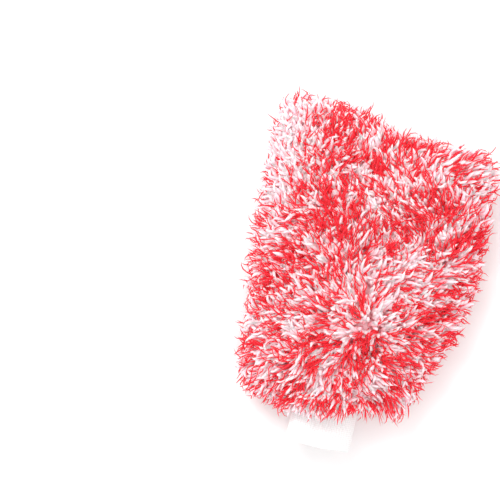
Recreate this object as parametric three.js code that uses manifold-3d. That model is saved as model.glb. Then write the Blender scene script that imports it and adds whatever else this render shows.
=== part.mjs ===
// Plush wash mitt: a two-panel bag of tufted pile fabric with a loose lining bag inside it and a
// doubled rib-knit cuff sewn into its heel. The mitt lies flat on its back panel. Millimetres, +Z up,
// +Y towards the fingers, X across the palm, origin under the middle of the whole mitt.
import * as THREE from "three";
import { mergeVertices } from "three/addons/utils/BufferGeometryUtils.js";
import Module from "manifold-3d";

const wasm = await Module();
wasm.setup();

// ---- Driving sizes ----
const CLEARANCE = 0.3; // between any two pieces that touch
const PILE_SEAT = 0.45; // between the ground fabric and the pile, whose rounded corners differ
const WELD = 0.001; // corners closer than this are one corner

// Bag outline, measured on the seam line where the two ground fabrics meet
const BAG_LENGTH = 234; // heel edge to the middle of the finger edge
const BAG_WIDTH = 178; // at the widest, beside the knuckles
const HEEL_WIDTH = 120; // at the heel edge, before its corners are rounded
const CORNER = 18; // corner radius of the seam line
const FINGER_CROWN = 3; // how far the finger edge bows out
const WIDEST_AT = 0.6; // share of the bag's length where the sides stop widening

// Pocket, measured inside the lining from the seam plane
const POCKET_RISE = 15; // above the seam plane
const POCKET_DROP = 11; // below the seam plane

// Fabrics
const LINING = 0.7;
const GROUND = 0.9;
const WHITE_PILE = 9.35; // short dense yarn next to the ground
const RED_PILE = 5; // depth by which the longer yarn ends stand over the white ones
const BAG_EASE = 1.2; // slack between lining and ground over the palm

// Seams
const ALLOWANCE = 5.6; // ground fabric turned in past the seam line
const LINING_ALLOWANCE = 3.8;
const LINING_INSET = 14; // lining outline inside the bag outline
const THREAD = 0.6; // thickness of a band of overlock stitches
const OVERLOCK_BITE = 3; // how far the stitches reach onto the allowance
const SEAM_STOP = 12; // the side seams end this far outside the cuff opening

// Cuff, drawn as an egg-shaped section whose inside face is the lining's
const NECK_HALF_WIDTH = 23;
const NECK_RISE = 10.5;
const NECK_DROP = 7.5;
const CUFF_REACH = 36; // how far the cuff stands out of the pile
const CUFF_TUCK = 4; // how far the cuff's raw edges reach into the bag past the heel edge
const CUFF_LAYER = 1.2;
const CUFF_GAP = 1.2; // between the two layers of the folded rib
const NECK_LENGTH = 8; // ground and lining sewn along the cuff
const NECK_RUN_IN = 52; // how far the neck's shape is carried into the bag
const SIDE_SEAM_WIDTH = 4;

// Roll of the panels from seam to plateau, in plan
const FRONT_ROLL_HEEL = 34;
const FRONT_ROLL_PALM = 68;
const BACK_ROLL_HEEL = 30;
const BACK_ROLL_PALM = 42;
const ROLL_RUN = 90; // distance from the heel over which the roll grows

// Facets
const CORNER_STEPS = 4;
const SIDE_STEPS = 8;
const EDGE_STEPS = 2;
const ROLL_STEPS = 5;
const NECK_STEPS = 14; // over each half of the egg section

// ---- Sizes that follow ----
const PILE = PILE_SEAT + WHITE_PILE + CLEARANCE + RED_PILE; // pile over the ground, and its gaps
const TOTAL_LENGTH = BAG_LENGTH + 2 * PILE + CUFF_REACH;
const FINGER_Y = TOTAL_LENGTH / 2 - PILE - FINGER_CROWN; // at the finger corners
const HEEL_Y = FINGER_Y + FINGER_CROWN - BAG_LENGTH;
const MOUTH_Y = -TOTAL_LENGTH / 2;
const NECK_END_Y = HEEL_Y - NECK_LENGTH;
const SPINE_START_Y = HEEL_Y + 54;
const SPINE_END_Y = FINGER_Y - 60;

// Height of each face over the pocket's own surface, at the palm
const GROUND_INSIDE = LINING + BAG_EASE;
const GROUND_OUTSIDE = GROUND_INSIDE + GROUND;

// The same at the neck, where the cuff and its stitches lie between lining and ground
const CUFF_INSIDE = LINING + CLEARANCE + THREAD + CLEARANCE;
const CUFF_OUTSIDE = CUFF_INSIDE + 2 * CUFF_LAYER + CUFF_GAP;
const NECK_GROUND_INSIDE = CUFF_OUTSIDE + CLEARANCE + THREAD + CLEARANCE;
const NECK_GROUND_OUTSIDE = NECK_GROUND_INSIDE + GROUND;

const SEAM_HEIGHT = POCKET_DROP + GROUND_OUTSIDE + PILE; // seam plane above the table

// ---- Materials ----
const yarn = (color, roughness) => new THREE.MeshStandardMaterial({ color, roughness, metalness: 0 });
const RED_YARN = 0xe8202c;
const WHITE_YARN = 0xfaf4f5;
const GROUND_KNIT = 0xf3eeee;
const LINING_CLOTH = 0xf1f1f0;
const RIB_KNIT = 0xfcfcfc;
const THREAD_WHITE = 0xf6f4f2;

// ---- Helpers ----
const lerp = THREE.MathUtils.lerp;
const smoothstep = THREE.MathUtils.smoothstep;

// Shares corners that lie within WELD of each other and drops the faces that this closes up
function weld(geometry) {
  const bare = geometry.clone();
  bare.deleteAttribute("normal");
  bare.deleteAttribute("uv");
  const merged = mergeVertices(bare, WELD);
  const index = merged.index.array;
  const kept = [];
  for (let i = 0; i < index.length; i += 3) {
    const [a, b, c] = [index[i], index[i + 1], index[i + 2]];
    if (a !== b && b !== c && c !== a) kept.push(a, b, c);
  }
  merged.setIndex(kept);
  return merged;
}

function toManifold(geometry) {
  const welded = weld(geometry);
  const vertProperties = new Float32Array(welded.attributes.position.array);
  const triVerts = new Uint32Array(welded.index.array);
  return new wasm.Manifold(new wasm.Mesh({ numProp: 3, vertProperties, triVerts }));
}

function toGeometry(solid) {
  const { vertProperties, triVerts } = solid.getMesh();
  const geometry = new THREE.BufferGeometry();
  geometry.setAttribute("position", new THREE.BufferAttribute(new Float32Array(vertProperties), 3));
  geometry.setIndex(new THREE.BufferAttribute(new Uint32Array(triVerts), 1));
  const welded = weld(geometry);
  welded.computeVertexNormals();
  return welded;
}

function boxSolid(x0, x1, y0, y1, z0, z1) {
  const box = new THREE.BoxGeometry(x1 - x0, y1 - y0, z1 - z0);
  box.translate((x0 + x1) / 2, (y0 + y1) / 2, (z0 + z1) / 2);
  return toManifold(box);
}

// ---- Outline ----
// Right half of the seam line from the middle of the heel edge to the middle of the finger edge
function halfOutline() {
  const heel = HEEL_WIDTH / 2;
  const wide = BAG_WIDTH / 2;
  const widestY = HEEL_Y + WIDEST_AT * BAG_LENGTH;
  const sideStartY = HEEL_Y + CORNER;
  const sideEndY = FINGER_Y - CORNER;
  const flare = (wide - heel) * 0.12; // the sides already widen within the heel corner
  const path = new THREE.Path();
  path.moveTo(0, HEEL_Y);
  path.lineTo(heel - CORNER, HEEL_Y);
  path.quadraticCurveTo(heel, HEEL_Y, heel + flare, sideStartY);
  path.bezierCurveTo(
    heel + flare + 0.35 * (wide - heel),
    lerp(sideStartY, widestY, 0.4),
    wide,
    lerp(sideStartY, widestY, 0.75),
    wide,
    sideEndY,
  );
  path.quadraticCurveTo(wide, FINGER_Y, wide - CORNER, FINGER_Y);
  path.quadraticCurveTo((wide - CORNER) / 2, FINGER_Y + FINGER_CROWN, 0, FINGER_Y + FINGER_CROWN);
  const steps = [EDGE_STEPS, CORNER_STEPS, SIDE_STEPS, CORNER_STEPS, EDGE_STEPS + 1];
  const points = [new THREE.Vector2(0, HEEL_Y)];
  path.curves.forEach((curve, i) => points.push(...curve.getPoints(steps[i]).slice(1)));
  return points;
}

// The whole seam line, anticlockwise, with the outward normal at each point
function fullOutline() {
  const right = halfOutline();
  const left = right.slice(1, -1).reverse();
  const points = [...right, ...left.map((p) => new THREE.Vector2(-p.x, p.y))];
  const count = points.length;
  return points.map((point, i) => {
    const before = points[(i + count - 1) % count];
    const after = points[(i + 1) % count];
    const into = point.clone().sub(before).normalize();
    const out = after.clone().sub(point).normalize();
    const along = into.add(out).normalize();
    return { point, normal: new THREE.Vector2(along.y, -along.x) };
  });
}

const OUTLINE = fullOutline();

const outlineAt = (offset) => OUTLINE.map(({ point, normal }) => point.clone().addScaledVector(normal, offset));

// The point on the mitt's middle line that an outline point's ray runs to
function spinePoint(point) {
  const share = THREE.MathUtils.clamp((point.y - HEEL_Y) / (FINGER_Y - HEEL_Y), 0, 1);
  return new THREE.Vector2(0, lerp(SPINE_START_Y, SPINE_END_Y, share));
}

function rollAt(point, side) {
  const share = smoothstep(point.y, HEEL_Y, HEEL_Y + ROLL_RUN);
  const [heel, palm] = side > 0 ? [FRONT_ROLL_HEEL, FRONT_ROLL_PALM] : [BACK_ROLL_HEEL, BACK_ROLL_PALM];
  return lerp(heel, palm, share);
}

// ---- Half of a pillow ----
// Solid between the seam plane and a panel that rolls up from the outline to a plateau at `rise`.
// side is 1 above the seam plane and -1 below it; a skirt 1 mm deep crosses the plane.
function pillowHalf(offset, rise, side) {
  const rim = outlineAt(offset);
  const rows = rim.map((edge, i) => {
    const centre = spinePoint(OUTLINE[i].point);
    const reach = edge.distanceTo(centre);
    const roll = Math.min(rollAt(OUTLINE[i].point, side) + offset, reach);
    const row = [
      [centre.x, centre.y, -side],
      [edge.x, edge.y, -side],
    ];
    for (let k = 0; k <= ROLL_STEPS; k++) {
      const angle = (k / ROLL_STEPS) * (Math.PI / 2);
      const inward = (roll * (1 - Math.cos(angle))) / reach;
      row.push([lerp(edge.x, centre.x, inward), lerp(edge.y, centre.y, inward), side * rise * Math.sin(angle)]);
    }
    row.push([centre.x, centre.y, side * rise]);
    return row;
  });
  return toManifold(gridSolid(rows, side > 0, false));
}

// Closed skin over rows of points that follow each other round. Each row is a loop of its own, or
// where `looped` is false a line whose two ends lie on the middle line that all the rows share.
function gridSolid(rows, flip, looped = true) {
  const across = rows[0].length;
  const index = [];
  rows.forEach((row, i) => {
    const next = (i + 1) % rows.length;
    for (let j = 0; j < across - (looped ? 0 : 1); j++) {
      const after = (j + 1) % across;
      const [a, b] = [i * across + j, next * across + j];
      const [c, d] = [next * across + after, i * across + after];
      if (flip) index.push(a, b, c, a, c, d);
      else index.push(a, c, b, a, d, c);
    }
  });
  const geometry = new THREE.BufferGeometry();
  geometry.setAttribute("position", new THREE.Float32BufferAttribute(rows.flat(2), 3));
  geometry.setIndex(index);
  return geometry;
}

// ---- Neck and cuff section ----
function eggPoint(angle, y, offset) {
  const high = Math.sin(angle) >= 0 ? NECK_RISE : NECK_DROP;
  return [(NECK_HALF_WIDTH + offset) * Math.cos(angle), y, (high + offset) * Math.sin(angle)];
}

// Sweeps a closed profile of [y, offset] points round the egg-shaped section of the neck
function ringSolid(profile) {
  const rows = [];
  for (let i = 0; i < 2 * NECK_STEPS; i++) {
    const angle = (i / NECK_STEPS) * Math.PI;
    rows.push(profile.map(([y, offset]) => eggPoint(angle, y, offset)));
  }
  return toManifold(gridSolid(rows, true));
}

// Full plug of the neck, from y0 to y1, with its side wall at the given offset
function neckPlug(offset, y0, y1) {
  const shape = new THREE.Shape();
  for (let i = 0; i < 2 * NECK_STEPS; i++) {
    const [x, , z] = eggPoint((i / NECK_STEPS) * Math.PI, 0, offset);
    if (i === 0) shape.moveTo(x, z);
    else shape.lineTo(x, z);
  }
  shape.closePath();
  const plug = new THREE.ExtrudeGeometry(shape, { depth: y1 - y0, bevelEnabled: false });
  plug.rotateX(Math.PI / 2);
  plug.translate(0, y1, 0);
  return toManifold(plug);
}

// ---- Bag layers ----
// A panel's half pillow joined with the neck that leads to the cuff
function layerSolid({ offset, height, neck, side, neckEnd }) {
  const rise = (side > 0 ? POCKET_RISE : POCKET_DROP) + height;
  const body = pillowHalf(offset, rise, side);
  return body.add(neckPlug(neck, neckEnd, HEEL_Y + NECK_RUN_IN + neck));
}

// Keeps the part of a solid on one side of the seam plane, half a clearance away from it
function trimToSide(solid, side) {
  const half = CLEARANCE / 2;
  const [low, high] = side > 0 ? [half, 100] : [-100, -half];
  return solid.intersect(boxSolid(-200, 200, -250, 250, low, high));
}

// Flat ring of fabric along the seam, open across the cuff
function allowanceRing(outer, inner, side, thickness) {
  const half = CLEARANCE / 2;
  const [low, high] = side > 0 ? [half, half + thickness] : [-half - thickness, -half];
  return bandBetween(outer, inner, low, high);
}

function bandBetween(outer, inner, low, high) {
  const band = plate(outer, low, high).subtract(plate(inner, low - 1, high + 1));
  return band.subtract(cuffGap());
}

// Solid with the outline's plan between two heights
function plate(offset, low, high) {
  const shape = new THREE.Shape(outlineAt(offset));
  const solid = new THREE.ExtrudeGeometry(shape, { depth: high - low, bevelEnabled: false });
  solid.translate(0, 0, low);
  return toManifold(solid);
}

function cuffGap() {
  const half = NECK_HALF_WIDTH + NECK_GROUND_OUTSIDE + SEAM_STOP;
  return boxSolid(-half, half, HEEL_Y - 50, HEEL_Y + 50, -20, 20);
}

// ---- Sub-parts ----
function groundFabric(side) {
  const neckEnd = NECK_END_Y;
  const outside = layerSolid({ offset: 0, height: GROUND_OUTSIDE, neck: NECK_GROUND_OUTSIDE, side, neckEnd });
  const inside = layerSolid({
    offset: -GROUND,
    height: GROUND_INSIDE,
    neck: NECK_GROUND_INSIDE,
    side,
    neckEnd: neckEnd - 5,
  });
  const shell = trimToSide(outside.subtract(inside), side);
  const allowance = allowanceRing(-GROUND / 2, -GROUND - ALLOWANCE, side, GROUND);
  return shell.add(allowance);
}

function liningCloth(side) {
  const neckEnd = NECK_END_Y;
  const outline = -LINING_INSET;
  const outside = layerSolid({ offset: outline, height: LINING, neck: LINING, side, neckEnd });
  const inside = layerSolid({ offset: outline - LINING, height: 0, neck: 0, side, neckEnd: neckEnd - 5 });
  const shell = trimToSide(outside.subtract(inside), side);
  const allowance = allowanceRing(outline + LINING_ALLOWANCE, outline - LINING / 2, side, LINING);
  return shell.add(allowance);
}

// Everything the pile has to stay out of: the ground, its neck and the cuff
function groundWithClearance(side) {
  return layerSolid({
    offset: PILE_SEAT,
    height: GROUND_OUTSIDE + PILE_SEAT,
    neck: NECK_GROUND_OUTSIDE + PILE_SEAT,
    side,
    neckEnd: MOUTH_Y - 5,
  });
}

function pileLayer(side, start, depth) {
  const rise = (side > 0 ? POCKET_RISE : POCKET_DROP) + GROUND_OUTSIDE;
  const outside = pillowHalf(start + depth, rise + start + depth, side);
  const inside = pillowHalf(start, rise + start, side);
  return trimToSide(outside.subtract(inside).subtract(groundWithClearance(side)), side);
}

// Band of overlock stitches wrapped round the cut edges of two allowances
function overlockBand({ edge, inwards, cloth }) {
  const reach = THREAD + CLEARANCE; // from the cut edge to the outside of the stitches
  const stack = CLEARANCE / 2 + cloth + CLEARANCE;
  const tips = edge + inwards * reach;
  const toes = edge - inwards * OVERLOCK_BITE;
  const [outer, inner] = inwards < 0 ? [toes, tips] : [tips, toes];
  const band = bandBetween(outer, inner, -stack - THREAD, stack + THREAD);
  const hollowOuter = inwards < 0 ? outer + 1 : edge + CLEARANCE;
  const hollowInner = inwards < 0 ? edge - CLEARANCE : inner - 1;
  return band.subtract(bandBetween(hollowOuter, hollowInner, -stack, stack));
}

// Doubled rib tube: outer layer, fold at the mouth, inner layer
function ribCuff() {
  const top = HEEL_Y + CUFF_TUCK;
  const [a, d] = [CUFF_INSIDE, CUFF_OUTSIDE];
  const [b, c] = [a + CUFF_LAYER, d - CUFF_LAYER];
  const middle = (a + d) / 2;
  const round = (d - a) / 2;
  const profile = [[top, d]];
  for (let k = 0; k <= 4; k++) {
    const angle = (k / 4) * Math.PI;
    profile.push([MOUTH_Y + round - round * Math.sin(angle), middle + round * Math.cos(angle)]);
  }
  profile.push([top, a], [top, b], [MOUTH_Y + round, b], [MOUTH_Y + round, c], [top, c]);
  return ringSolid(profile);
}

// Stitches that close the cuff's raw edges together, inside the bag
function cuffJoin() {
  const top = HEEL_Y + CUFF_TUCK;
  const low = top - OVERLOCK_BITE;
  const [a, d] = [CUFF_INSIDE - CLEARANCE, CUFF_OUTSIDE + CLEARANCE];
  const end = top + CLEARANCE;
  return ringSolid([
    [low, d + THREAD],
    [low, d],
    [end, d],
    [end, a],
    [low, a],
    [low, a - THREAD],
    [end + THREAD, a - THREAD],
    [end + THREAD, d + THREAD],
  ]);
}

// Flat chain of stitches that closes the rib tube at one side, between its two layers
function cuffSideSeam() {
  const middle = CUFF_INSIDE + CUFF_LAYER + CUFF_GAP / 2;
  const [inner, outer] = [middle - THREAD / 2, middle + THREAD / 2];
  const low = MOUTH_Y + CUFF_LAYER + CUFF_GAP + 2;
  const high = HEEL_Y + CUFF_TUCK;
  const width = SIDE_SEAM_WIDTH / 2;
  const ring = ringSolid([[high, outer], [low, outer], [low, inner], [high, inner]]);
  return ring.intersect(boxSolid(0, 2 * NECK_HALF_WIDTH, low - 1, high + 1, -width, width));
}

// ---- Assembly ----
function piece(name, solid, color, roughness) {
  const mesh = new THREE.Mesh(toGeometry(solid), yarn(color, roughness));
  mesh.name = name;
  return mesh;
}

function buildMitt() {
  const mitt = new THREE.Group();
  mitt.position.z = SEAM_HEIGHT;
  const redStart = PILE_SEAT + WHITE_PILE + CLEARANCE;
  for (const [name, side] of [["front", 1], ["back", -1]]) {
    mitt.add(
      piece(`${name}_red_pile`, pileLayer(side, redStart, RED_PILE), RED_YARN, 0.9),
      piece(`${name}_white_pile`, pileLayer(side, PILE_SEAT, WHITE_PILE), WHITE_YARN, 0.95),
      piece(`${name}_ground_fabric`, groundFabric(side), GROUND_KNIT, 0.95),
      piece(`${name}_lining`, liningCloth(side), LINING_CLOTH, 0.8),
    );
  }
  const shellSeam = overlockBand({ edge: -GROUND - ALLOWANCE, inwards: -1, cloth: GROUND });
  const liningSeam = overlockBand({ edge: LINING_ALLOWANCE - LINING_INSET, inwards: 1, cloth: LINING });
  mitt.add(
    piece("shell_seam_overlock", shellSeam, THREAD_WHITE, 0.7),
    piece("lining_seam_overlock", liningSeam, THREAD_WHITE, 0.7),
    piece("rib_cuff", ribCuff(), RIB_KNIT, 0.9),
    piece("cuff_join_overlock", cuffJoin(), THREAD_WHITE, 0.7),
    piece("cuff_side_seam", cuffSideSeam(), THREAD_WHITE, 0.7),
  );
  return mitt;
}

export default buildMitt();
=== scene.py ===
"""Plush wash mitt: two panels of long red and white yarn pile, a loose lining and a rib-knit cuff.

The mitt lies flat on its back panel with its fingers towards +Y. Lengths are in metres.
"""
import math

import bmesh
import bpy
import numpy as np
from bpy.props import FloatProperty, FloatVectorProperty, IntProperty, PointerProperty
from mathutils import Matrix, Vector
from mathutils.bvhtree import BVHTree


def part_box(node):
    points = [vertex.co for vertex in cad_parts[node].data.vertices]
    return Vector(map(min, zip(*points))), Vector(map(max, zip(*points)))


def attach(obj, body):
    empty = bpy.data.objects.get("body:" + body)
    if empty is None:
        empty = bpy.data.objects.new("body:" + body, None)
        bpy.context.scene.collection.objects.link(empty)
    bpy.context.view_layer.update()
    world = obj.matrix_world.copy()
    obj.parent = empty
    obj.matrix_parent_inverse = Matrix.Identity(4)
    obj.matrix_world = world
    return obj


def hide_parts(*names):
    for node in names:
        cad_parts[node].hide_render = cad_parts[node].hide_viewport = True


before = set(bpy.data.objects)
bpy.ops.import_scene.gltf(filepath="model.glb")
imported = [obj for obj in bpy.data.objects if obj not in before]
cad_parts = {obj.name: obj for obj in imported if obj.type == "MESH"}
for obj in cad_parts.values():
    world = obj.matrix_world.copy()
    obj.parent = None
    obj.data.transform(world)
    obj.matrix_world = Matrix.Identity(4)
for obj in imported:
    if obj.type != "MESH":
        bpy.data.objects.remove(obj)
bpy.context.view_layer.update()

bl_info = {
    "name": "Plush wash mitt",
    "version": (1, 0, 0),
    "blender": (4, 5, 0),
    "location": "3D View > Sidebar > Wash mitt",
    "description": "Builds a tufted plush wash mitt with a lining and a rib-knit cuff",
    "category": "Add Mesh",
}

FRONT, BACK = 1, -1
SIDE_NAMES = {FRONT: "front", BACK: "back"}
TAU = 2 * math.pi


# ---- sizes from the frame


def box_of(node):
    """The lowest and highest corners of a node, as arrays."""
    low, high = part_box(node)
    return np.array(low), np.array(high)


PILE_LOW, PILE_HIGH = box_of("front_red_pile")
UNDER_LOW, _ = box_of("back_red_pile")
GROUND_LOW, GROUND_HIGH = box_of("front_ground_fabric")
_, LINING_HIGH = box_of("front_lining")
BACK_LINING_LOW, _ = box_of("back_lining")
CUFF_LOW, CUFF_HIGH = box_of("rib_cuff")
SEAM_LOW, SEAM_HIGH = box_of("shell_seam_overlock")
_, LINING_SEAM_HIGH = box_of("lining_seam_overlock")

SEAM_Z = (SEAM_LOW[2] + SEAM_HIGH[2]) / 2
PILE_DEPTH = PILE_HIGH[0] - GROUND_HIGH[0]
BAG_HALF = GROUND_HIGH[0]
FINGER_Y = GROUND_HIGH[1]
HEEL_Y = PILE_LOW[1] + PILE_DEPTH
NECK_END_Y = GROUND_LOW[1]
GROUND_RISE = {
    FRONT: PILE_HIGH[2] - PILE_DEPTH - SEAM_Z,
    BACK: SEAM_Z - PILE_DEPTH - UNDER_LOW[2],
}
CUFF_HALF = CUFF_HIGH[0]
CUFF_HEIGHT = {FRONT: CUFF_HIGH[2] - SEAM_Z, BACK: SEAM_Z - CUFF_LOW[2]}
MOUTH_Y = CUFF_LOW[1]
CUFF_TOP_Y = CUFF_HIGH[1]
LINING_RISE = {FRONT: LINING_HIGH[2] - SEAM_Z, BACK: SEAM_Z - BACK_LINING_LOW[2]}
LINING_OFFSET = LINING_HIGH[0] - BAG_HALF

STITCH_REACH = 0.002  # overlock loops stand this far out from the edge that they cover
SEAM_STOP = 0.010  # the bags' seams end this far from the cuff
GROUND_THICK, LINING_THICK, RIB_THICK = 0.0009, 0.0007, 0.0012
PILE_GROW = 0.0025  # the yarns' roots on the neck, outside the cuff
NECK_OVERLAP = 0.004  # the neck's cloth runs this far into the bag
NECK_GROW = 0.0021  # the ground fabric's neck, outside the cuff
LINING_GROW = -0.0048  # the lining's neck, inside the cuff


# ---- properties


def metres(name, description, default):
    return FloatProperty(name=name, description=description, default=default, unit="LENGTH")


def tint(name, description, default):
    choice = {"name": name, "description": description, "default": default}
    return FloatVectorProperty(size=3, subtype="COLOR", **choice)


class MittSizes(bpy.types.PropertyGroup):
    """Sizes of the sewn bag that the frame's boxes don't give."""

    heel_width: metres("Heel width", "Seam line across the heel", 0.120)
    corner: metres("Corner", "Corner radius of the seam line", 0.018)
    crown: metres("Finger crown", "How far the finger edge bows", 0.003)
    widest_at: FloatProperty(
        name="Widest at", description="Share of the length where the sides stop widening",
        default=0.6, subtype="FACTOR",
    )
    lump: metres("Lumps", "Height of the soft lumps in the bag", 0.0022)
    dimple: metres("Dimple", "Depth of the hollow near the heel", 0.0045)
    ribs: IntProperty(name="Ribs", description="Ribs round the cuff", default=56)
    rib_height: metres("Rib height", "Height of a cuff rib", 0.00045)


class MittPile(bpy.types.PropertyGroup):
    """How the yarn ends grow."""

    seed: IntProperty(name="Seed", description="Seed of every random choice", default=11)
    tuft_spacing: metres("Tuft spacing", "Distance between tufts", 0.0049)
    red_length: metres("Red length", "Length of a red yarn end", 0.0240)
    white_length: metres("White length", "Length of a white yarn end", 0.0205)
    fluff_length: metres("Fluff length", "Length of a short white yarn end", 0.012)
    fluff_radius: metres("Fluff radius", "Radius of a short white yarn end", 0.0023)
    red_radius: metres("Red radius", "Radius of a red yarn end", 0.00058)
    white_radius: metres("White radius", "Radius of a white yarn end", 0.00170)
    parting: FloatVectorProperty(
        name="Parting", description="Where the pile parts and fans out", size=2,
        default=(0.023, -0.041), unit="LENGTH",
    )


class MittColours(bpy.types.PropertyGroup):
    """Colours of the mitt."""

    red: tint("Red", "Red yarn", (0.90, 0.018, 0.034))
    # The white yarn's colour is painted pink, standing for the red light that the red yarn bounces onto it
    white: tint("White", "White yarn", (0.98, 0.71, 0.76))
    # Painted shade and red bounce light deep in the pile: the white yarn's colour near its root, darker and
    # pinker
    white_root_red_bounce: tint("White root", "White yarn near its root", (0.97, 0.40, 0.46))
    cuff: tint("Cuff", "Rib knit", (0.90, 0.90, 0.90))
    lining: tint("Lining", "Lining cloth", (0.84, 0.84, 0.83))
    # The ground's pink is painted red bounce light, seen in the gaps of the pile
    ground: tint("Ground", "Ground fabric", (0.90, 0.74, 0.77))
    thread: tint("Thread", "Sewing thread", (0.88, 0.87, 0.85))
    floor: tint("Floor", "Studio floor", (0.93, 0.93, 0.93))


# ---- small helpers


def smoothstep(value, low, high):
    """0 up to low and 1 from high on, with a smooth change between."""
    share = np.clip((value - low) / (high - low), 0, 1)
    return share * share * (3 - 2 * share)


def unit(vectors):
    """The vectors at length 1."""
    return vectors / np.maximum(np.linalg.norm(vectors, axis=-1, keepdims=True), 1e-9)


def square_to(normals, vectors):
    """The part of each vector that is square to its normal."""
    return vectors - normals * (vectors * normals).sum(1, keepdims=True)


def hill(value, centre, width):
    """1 at the centre, falling to almost 0 at twice the width from it."""
    return np.exp(-(((value - centre) / width) ** 2))


def soft_limit(value, least, softness):
    """The value where it is well over the least one, rounding off to the least one below that."""
    over = value - least
    return least + (over + np.sqrt(over**2 + softness**2)) / 2


def waves(points, size, seed, count=7):
    """Smooth noise from -1 to 1 that changes over about `size`, as a sum of sines."""
    rng = np.random.default_rng(seed)
    total = np.zeros(points.shape[:-1])
    for _ in range(count):
        direction = unit(rng.normal(size=points.shape[-1]))
        pitch = size * rng.uniform(1.2, 2.6)
        total += np.sin(points @ direction * TAU / pitch + rng.uniform(0, TAU))
    return total / math.sqrt(count)


def bezier(corners, count):
    """`count` points along a Bezier curve, without its first."""
    t = np.linspace(0, 1, count + 1)[1:, None]
    last = len(corners) - 1
    weights = [math.comb(last, k) * t**k * (1 - t) ** (last - k) for k in range(last + 1)]
    return sum(weight * np.array(corner) for weight, corner in zip(weights, corners))


def mesh_object(name, vertices, faces, material):
    """An object from an array of vertices and arrays of faces, each with a fixed number of corners."""
    mesh = bpy.data.meshes.new(name)
    vertices = np.asarray(vertices, np.float32).reshape(-1, 3)
    loops = np.concatenate([f.reshape(-1) for f in faces]).astype(np.int32)
    sizes = np.concatenate([np.full(len(f), f.shape[1]) for f in faces])
    starts = np.concatenate([[0], np.cumsum(sizes)[:-1]]).astype(np.int32)
    mesh.vertices.add(len(vertices))
    mesh.vertices.foreach_set("co", vertices.reshape(-1))
    mesh.loops.add(len(loops))
    mesh.loops.foreach_set("vertex_index", loops)
    mesh.polygons.add(len(sizes))
    mesh.polygons.foreach_set("loop_start", starts)
    mesh.polygons.foreach_set("use_smooth", np.full(len(sizes), True))
    mesh.update(calc_edges=True)
    mesh.validate()
    piece = bpy.data.objects.new(name, mesh)
    bpy.context.scene.collection.objects.link(piece)
    piece.data.materials.append(material)
    return piece


def grid_faces(rows, columns, wrap_rows=False, wrap_columns=False, start=0, flip=False):
    """Quads over a grid of vertices stored row by row."""
    i = np.arange(rows if wrap_rows else rows - 1)
    j = np.arange(columns if wrap_columns else columns - 1)
    i, j = np.meshgrid(i, j, indexing="ij")
    next_i, next_j = (i + 1) % rows, (j + 1) % columns
    corners = [(i, j), (next_i, j), (next_i, next_j), (i, next_j)]
    quads = np.stack([row * columns + column for row, column in corners], axis=-1).reshape(-1, 4)
    return start + (quads[:, [0, 3, 2, 1]] if flip else quads)


def hand_over(piece, slot, *nodes):
    """The piece rides on the mitt and stands for these nodes, which are hidden; slot is not used."""
    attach(piece, "root")
    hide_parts(*nodes)


# ---- bag shape


def seam_line(sizes):
    """Points round the seam line, anticlockwise from mid-heel, and their outward normals."""
    heel, wide, corner = sizes.heel_width / 2, BAG_HALF, sizes.corner
    edge_y = FINGER_Y - sizes.crown
    flare = (wide - heel) * 0.12  # a side starts to widen within the heel's corner
    start_y, widest_y = HEEL_Y + corner, HEEL_Y + sizes.widest_at * (FINGER_Y - HEEL_Y)
    side_foot = (heel + flare, start_y)
    right = np.concatenate([
        [(0, HEEL_Y)],
        bezier([(0, HEEL_Y), (heel - corner, HEEL_Y)], 14),
        bezier([(heel - corner, HEEL_Y), (heel, HEEL_Y), side_foot], 12),
        bezier([
            side_foot,
            (heel + flare + 0.35 * (wide - heel), start_y + 0.4 * (widest_y - start_y)),
            (wide, start_y + 0.75 * (widest_y - start_y)),
            (wide, edge_y - corner),
        ], 56),
        bezier([(wide, edge_y - corner), (wide, edge_y), (wide - corner, edge_y)], 12),
        bezier([(wide - corner, edge_y), ((wide - corner) / 2, FINGER_Y), (0, FINGER_Y)], 20),
    ])
    points = np.concatenate([right, right[-2:0:-1] * [-1, 1]])
    along = unit(unit(points - np.roll(points, 1, axis=0)) + unit(np.roll(points, -1, axis=0) - points))
    return points, np.stack([along[:, 1], -along[:, 0]], axis=1)


ROLL_HEEL = {FRONT: 0.034, BACK: 0.030}  # how far in from the seam a panel still rolls, at the heel
ROLL_PALM = {FRONT: 0.068, BACK: 0.042}
ROLL_RUN = 0.090  # the roll at the heel becomes the palm's over this length
SPINE_ENDS = (0.054, 0.060)  # the middle line stops this far inside the heel and finger edges
ROLL_STEPS, FLAT_STEPS = 16, 7
NECK_FADE = 0.055  # the neck's arch is lost in the bag this far in from the heel


def panel_rows(sizes, side, offset, rise):
    """A panel's surface as rows of points that run from the seam line in to the middle line.

    offset moves the seam line out, and rise is the height over the seam plane.
    """
    points, normals = seam_line(sizes)
    edge = points + normals * offset
    share = np.clip((points[:, 1] - HEEL_Y) / (FINGER_Y - HEEL_Y), 0, 1)
    spine_y = HEEL_Y + SPINE_ENDS[0] + share * (FINGER_Y - SPINE_ENDS[1] - HEEL_Y - SPINE_ENDS[0])
    spine = np.stack([np.zeros_like(spine_y), spine_y], axis=1)
    reach = np.linalg.norm(edge - spine, axis=1)
    grow = smoothstep(points[:, 1], HEEL_Y, HEEL_Y + ROLL_RUN)
    roll = ROLL_HEEL[side] + grow * (ROLL_PALM[side] - ROLL_HEEL[side]) + offset
    roll = np.minimum(roll, reach * 0.98)
    angles = np.linspace(0, math.pi / 2, ROLL_STEPS + 1)
    inward = [roll * (1 - np.cos(a)) for a in angles]
    height = [rise * math.sin(a) for a in angles]
    for k in range(1, FLAT_STEPS + 1):
        inward.append(roll + (reach - roll) * k / FLAT_STEPS)
        height.append(rise)
    inward = np.stack(inward, axis=1) / reach[:, None]
    flat = edge[:, None] + (spine - edge)[:, None] * inward[..., None]
    z = np.broadcast_to(np.array(height), inward.shape)
    return np.concatenate([flat, (SEAM_Z + side * z)[..., None]], axis=2)


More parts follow.
